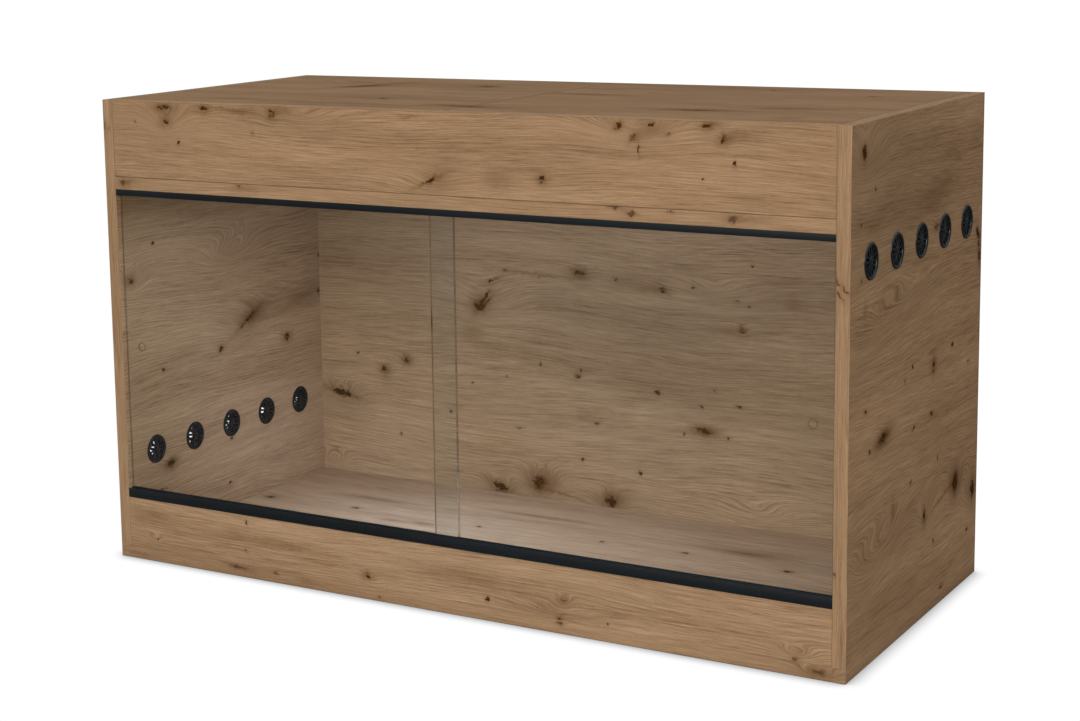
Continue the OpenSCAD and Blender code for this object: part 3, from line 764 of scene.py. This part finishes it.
def spun(name, outline):
    """A body of revolution about Z: its outline, a list of (radius, height) in mm, is spun round once."""
    bpy.ops.object.select_all(action="DESELECT")
    bpy.ops.mesh.primitive_plane_add(size=1 * MM)
    piece = bpy.context.object
    piece.name = name
    bpy.ops.object.mode_set(mode="EDIT")
    bpy.ops.mesh.select_mode(type="VERT")
    bpy.ops.mesh.select_all(action="SELECT")
    bpy.ops.mesh.merge(type="CENTER")
    points = [Vector((r * MM, 0, z * MM)) for r, z in outline]
    bpy.ops.transform.translate(value=points[0])
    for here, there in zip(points, points[1:]):
        bpy.ops.mesh.extrude_region_move(TRANSFORM_OT_translate={"value": there - here})
    bpy.ops.mesh.select_all(action="SELECT")
    bpy.ops.mesh.spin(steps=TURNS, angle=2 * math.pi, center=(0, 0, 0), axis=(0, 0, 1))
    bpy.ops.mesh.select_all(action="SELECT")
    bpy.ops.mesh.remove_doubles(threshold=0.001 * MM)
    bpy.ops.mesh.normals_make_consistent(inside=False)
    end_edit()
    return piece


def slot_cutter(inner_r, inner_w, outer_r, outer_w):
    """Twelve wedges, one for each slot of a grille."""
    low = Vector((inner_r, -outer_w / 2, -SLOT_CUT)) * MM
    high = Vector((outer_r, outer_w / 2, SLOT_CUT)) * MM
    wedge = block("slots", low, high)
    start_edit(wedge, "FACE", lambda centre, normal: normal.x < -0.9)
    bpy.ops.transform.resize(value=(1, inner_w / outer_w, 1), center_override=(inner_r * MM, 0, 0))
    bpy.ops.mesh.select_all(action="SELECT")
    bpy.ops.mesh.spin(steps=SLOTS - 1, angle=2 * math.pi * (SLOTS - 1) / SLOTS, dupli=True,
                      center=(0, 0, 0), axis=(0, 0, 1))
    end_edit()
    return wedge


def arc(inner_r, outer_r, height, steps=8):
    """Points over a rim from its inner foot to its outer foot."""
    middle, half = (inner_r + outer_r) / 2, (outer_r - inner_r) / 2
    bulge = (half * half + height * height) / (2 * height)
    reach = math.asin(half / bulge)
    angles = [-reach + 2 * reach * i / steps for i in range(steps + 1)]
    return [(middle + bulge * math.sin(a), height - bulge + bulge * math.cos(a)) for a in angles]


def vent(name, rim_r, rim_w, rim_h, barrel_r):
    """A vent with the board's face at z = 0: a rounded rim, a dished ring, a slotted grille with a raised
    hub, and the barrel behind."""
    barrel_in = barrel_r - BARREL_WALL
    slot_out = barrel_in - 0.6
    rim_in = rim_r - rim_w
    hub_top = GRILLE_UP + HUB_UP
    outline = [
        (0, hub_top), (HUB_R - 1.5, hub_top), (HUB_R - 0.9, hub_top - 0.15), (HUB_R - 0.4, hub_top - 0.5),
        (HUB_R, GRILLE_UP), (slot_out + 0.2, GRILLE_UP), (slot_out + 0.7, -DISH), (rim_in - 0.1, -DISH),
    ]
    outline += [p for p in arc(rim_in, rim_r, rim_h) if p[1] >= 0]
    outline += [
        (barrel_r, 0), (barrel_r, -BARREL_L), (barrel_in, -BARREL_L), (barrel_in, GRILLE_UP - GRILLE_T),
        (0, GRILLE_UP - GRILLE_T),
    ]
    piece = spun(name, outline)
    slot_w = 2 * math.pi * slot_out / SLOTS - RIB_W
    cut(piece, slot_cutter(SLOT_IN_R, SLOT_IN_W, slot_out, slot_w))
    finish_with(piece, "BEVEL", width=GRILLE_ROUND * MM, segments=2, limit_method="ANGLE",
                angle_limit=math.radians(50))
    smooth(piece)
    return piece


def place_copy(master, node, matrix):
    """Puts a copy of a modelled vent, with its own mesh, in the place of a CAD node."""
    copy = master.copy()
    copy.data = master.data.copy()
    copy.name = node + "_moulding"
    copy.data.transform(matrix)
    bpy.context.scene.collection.objects.link(copy)
    stands_for(copy, node, "cabinet", [moulding])


outer_vent = vent("outer_vent", rim_r=20.5, rim_w=3.4, rim_h=1.7, barrel_r=17.5)
inner_vent = vent("inner_vent", rim_r=19.25, rim_w=3.6, rim_h=1.2, barrel_r=15.9)
SIDES = {"left": (-1, LEFT_LOW.x, LEFT_HIGH.x), "right": (1, RIGHT_HIGH.x, RIGHT_LOW.x)}
for name, (side, outer_x, inner_x) in SIDES.items():
    for i in range(1, VENTS + 1):
        for kind, master, x, facing in (("outer", outer_vent, outer_x, side),
                                        ("inner", inner_vent, inner_x, -side)):
            node = "%s_%s_vent_%d" % (name, kind, i)
            low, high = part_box(node)
            # Every other outer grille is turned half a slot
            half_turn = math.pi / SLOTS if kind == "outer" and i % 2 else 0
            there = Matrix.Translation((x, (low.y + high.y) / 2, (low.z + high.z) / 2))
            facing_out = Matrix.Rotation(facing * math.pi / 2, 4, "Y")
            place_copy(master, node, there @ facing_out @ Matrix.Rotation(half_turn, 4, "Z"))
for master in (outer_vent, inner_vent):
    bpy.data.objects.remove(master)


# ---------- stage, light and camera ----------

# Lengths in m. The floor is wide enough for its edge to stay out of sight, and lies just under the cabinet.
CENTRE = Vector((0, 0, 0.3))
FLOOR_SIZE = 30
FLOOR_DROP = 0.3 * MM
SHADOW_REACH = 26 * MM

# Levels of the even light: on the boards, and in a mirror, where the ceiling adds to the room
AMBIENT = 0.52
MIRRORED = 0.2
CEILING_FROM = 0.3
CEILING_GLOW = 1.4

SOFTBOX = 1.8
FILL_COLOUR = (0.79, 0.98, 1.32)


def mirrored_rays(tree):
    """1 for rays that come by way of a mirror, such as the front of the glass."""
    depth = add(tree, "LightPath", output="Glossy Depth")
    return add(tree, "Math", {0: depth, 1: 0.5}, operation="GREATER_THAN")


def seen_rays(tree):
    """1 for rays that show the background straight to the camera or through glass, and not in a mirror."""
    path = add(tree, "LightPath").node.outputs
    through = add(tree, "Math", {0: path["Is Camera Ray"], 1: path["Is Transmission Ray"]},
                  operation="MAXIMUM")
    return add(tree, "Math", {0: through, 1: mirrored_rays(tree)}, operation="SUBTRACT", use_clamp=True)


def white_floor():
    """A pale studio floor that shows as white, apart from a narrow painted shadow at the cabinet's foot."""
    material, tree = new_material("studio_floor")
    # The photograph's glass mirrors hardly any of it
    colour = add(tree, "Mix", {0: mirrored_rays(tree), 6: linear("#D6D6D6"), 7: linear("#585654")}, output=2,
                 data_type="RGBA")
    plain = add(tree, "BsdfDiffuse", {"Color": colour})
    # The photograph's shadow is as narrow on every side, and fades out close to the cabinet's foot
    # The shadow is painted into the floor's white glow from ambient occlusion round the foot, not cast by the
    # lamps
    foot = add(tree, "AmbientOcclusion", {"Distance": SHADOW_REACH}, output="AO", samples=16)
    shadow = add(tree, "Math", {0: 1.0, 1: foot}, operation="SUBTRACT", use_clamp=True)
    shadow = add(tree, "Math", {0: shadow, 1: 1.5}, operation="POWER")
    white = add(tree, "MapRange", {"Value": shadow, "From Min": 0, "From Max": 0.68, "To Min": 1.02,
                                   "To Max": 0})
    glow = add(tree, "Emission", {"Color": linear("#FFFFFF"), "Strength": white})
    add(tree, "OutputMaterial", {"Surface": add(tree, "MixShader", {0: seen_rays(tree), 1: plain, 2: glow})})
    return material


def studio_sky(tree):
    """Even light from all round. It shows as white, and in a mirror as a dim room under a lit ceiling."""
    height = add(tree, "TexCoord", output="Generated")
    height = add(tree, "SeparateXYZ", {0: height}, output="Z")
    ceiling = add(tree, "Math", {0: height, 1: CEILING_FROM}, operation="SUBTRACT", use_clamp=True)
    room = add(tree, "Math", {0: ceiling, 1: CEILING_GLOW, 2: MIRRORED}, operation="MULTIPLY_ADD")
    level = add(tree, "Mix", {0: mirrored_rays(tree), 2: AMBIENT, 3: room})
    level = add(tree, "Math", {0: level, 1: seen_rays(tree)}, operation="MAXIMUM")
    sky = add(tree, "Background", {"Color": linear("#FFFFFF"), "Strength": level})
    add(tree, "OutputWorld", {"Surface": sky})


bpy.ops.object.select_all(action="DESELECT")
bpy.ops.mesh.primitive_plane_add(size=FLOOR_SIZE, location=(0, 0, -FLOOR_DROP))
floor = bpy.context.object
floor.name = "floor"
floor.data.materials.append(white_floor())

world = bpy.data.worlds.new("studio")
bpy.context.scene.world = world
world.use_nodes = True
world.node_tree.nodes.clear()
studio_sky(world.node_tree)


def lamp(name, place, target, width, depth, power, mirrored=True, colour=(1, 1, 1)):
    """A soft rectangular lamp that isn't seen itself, except in a mirror where mirrored is true."""
    light = bpy.data.lights.new(name, "AREA")
    light.color = colour
    light.shape = "RECTANGLE"
    light.size, light.size_y = width, depth
    light.energy = power
    stand = bpy.data.objects.new(name, light)
    aim = (target - place).to_track_quat("-Z", "Y")
    stand.matrix_world = Matrix.Translation(place) @ aim.to_matrix().to_4x4()
    stand.visible_camera = False
    stand.visible_glossy = mirrored
    stand.visible_transmission = False
    bpy.context.scene.collection.objects.link(stand)


def around(azimuth, elevation, distance=4):
    """A place round the cabinet, in degrees from straight in front and above the ground."""
    a, e = math.radians(azimuth), math.radians(elevation)
    return CENTRE + distance * Vector((math.sin(a) * math.cos(e), -math.cos(a) * math.cos(e), math.sin(e)))


lamp("front_softbox", around(15, 18), CENTRE, SOFTBOX, SOFTBOX, 64)
lamp("overhead_softbox", around(-75, 70), CENTRE, SOFTBOX, SOFTBOX, 17)

# The photograph's cabin is as light as its outside, and cooler, so fills that only light the boards hang in
# it: under its ceiling, straight down behind the glass, and low behind the glass, to the back. Each has its
# name, its place and what it is aimed at, its width and depth, and its power in W.
CABIN_FILLS = [
    ("cabin_top_fill", (0, 0, 0.575), (0, 0, 0), 0.9, 0.34, 0.55),
    ("cabin_glass_fill", (0, -0.185, 0.465), (0, -0.185, 0), 0.7, 0.03, 1.5),
    ("cabin_low_fill", (-0.04, -0.17, 0.2), (-0.04, 0.2, 0.16), 0.5, 0.04, 0.55),
]
for name, place, target, width, depth, power in CABIN_FILLS:
    lamp(name, Vector(place), Vector(target), width, depth, power, False, FILL_COLOUR)

camera_data = bpy.data.cameras.new("photo_camera")
camera_data.sensor_width = SENSOR_W
camera_data.lens = SENSOR_W * FOCAL_PX / IMAGE_W
camera_data.shift_x = 0.5 - CENTRE_PX[0] / IMAGE_W
camera_data.shift_y = (CENTRE_PX[1] - IMAGE_H / 2) / IMAGE_W
camera = bpy.data.objects.new("photo_camera", camera_data)
up = LOOK_RIGHT.cross(LOOK).normalized()
camera.matrix_world = Matrix.Translation(CAMERA_AT) @ Matrix((LOOK_RIGHT, up, -LOOK)).transposed().to_4x4()
bpy.context.scene.collection.objects.link(camera)
bpy.context.scene.camera = camera
bpy.context.scene.view_settings.view_transform = "Standard"
